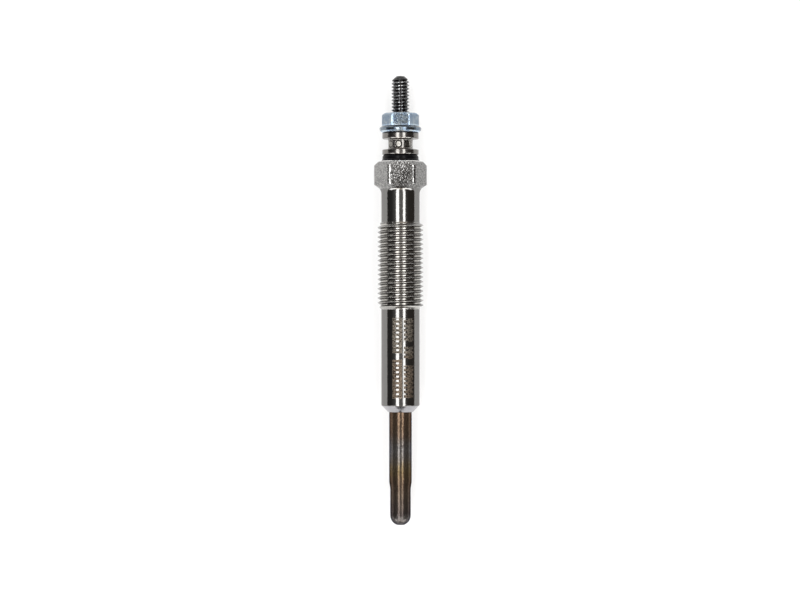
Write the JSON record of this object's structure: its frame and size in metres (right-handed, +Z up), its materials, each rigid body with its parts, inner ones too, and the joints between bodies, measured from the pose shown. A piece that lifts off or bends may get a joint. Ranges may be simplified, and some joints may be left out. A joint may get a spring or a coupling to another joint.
{
  "type": "diesel glow plug",
  "caption": "Sheathed-element diesel glow plug with a threaded steel body, hexagon, conical seat, swaged heater tube and threaded terminal stud with a flanged nut.",
  "frame": {"origin": "on the plug's axis, where the heater tube leaves the small end of the conical seat", "axes": "+Y along the axis towards the terminal stud, -Y towards the heater tip, +Z up out of the hexagon flat opposite the one the plug lies on"},
  "size_m": [0.0112, 0.0954, 0.01],
  "materials": {
    "body_steel": "nickel-plated turned steel, satin",
    "tempered_sheath": "heat-resisting alloy, oxidised in temper colours",
    "stud_steel": "dark rolled steel",
    "blued_zinc": "zinc plate with a bluish passivation",
    "nickel": "nickel plate, satin",
    "black_plastic": "black moulded plastic",
    "seal_rubber": "elastomer seal",
    "oxide_powder": "compacted magnesium oxide powder",
    "coil_alloy": "resistance alloy wire"
  },
  "bodies": {
    "root": {"body_shell": "body_steel", "heater_tube": "tempered_sheath", "centre_rod": "stud_steel", "terminal_nut": "blued_zinc", "round_nut": "nickel", "insulating_bush": "black_plastic", "seal_ring": "seal_rubber", "tube_seal": "seal_rubber", "insulating_powder": "oxide_powder", "control_coil": "coil_alloy", "heating_coil": "coil_alloy"}
  },
  "joints": []
}
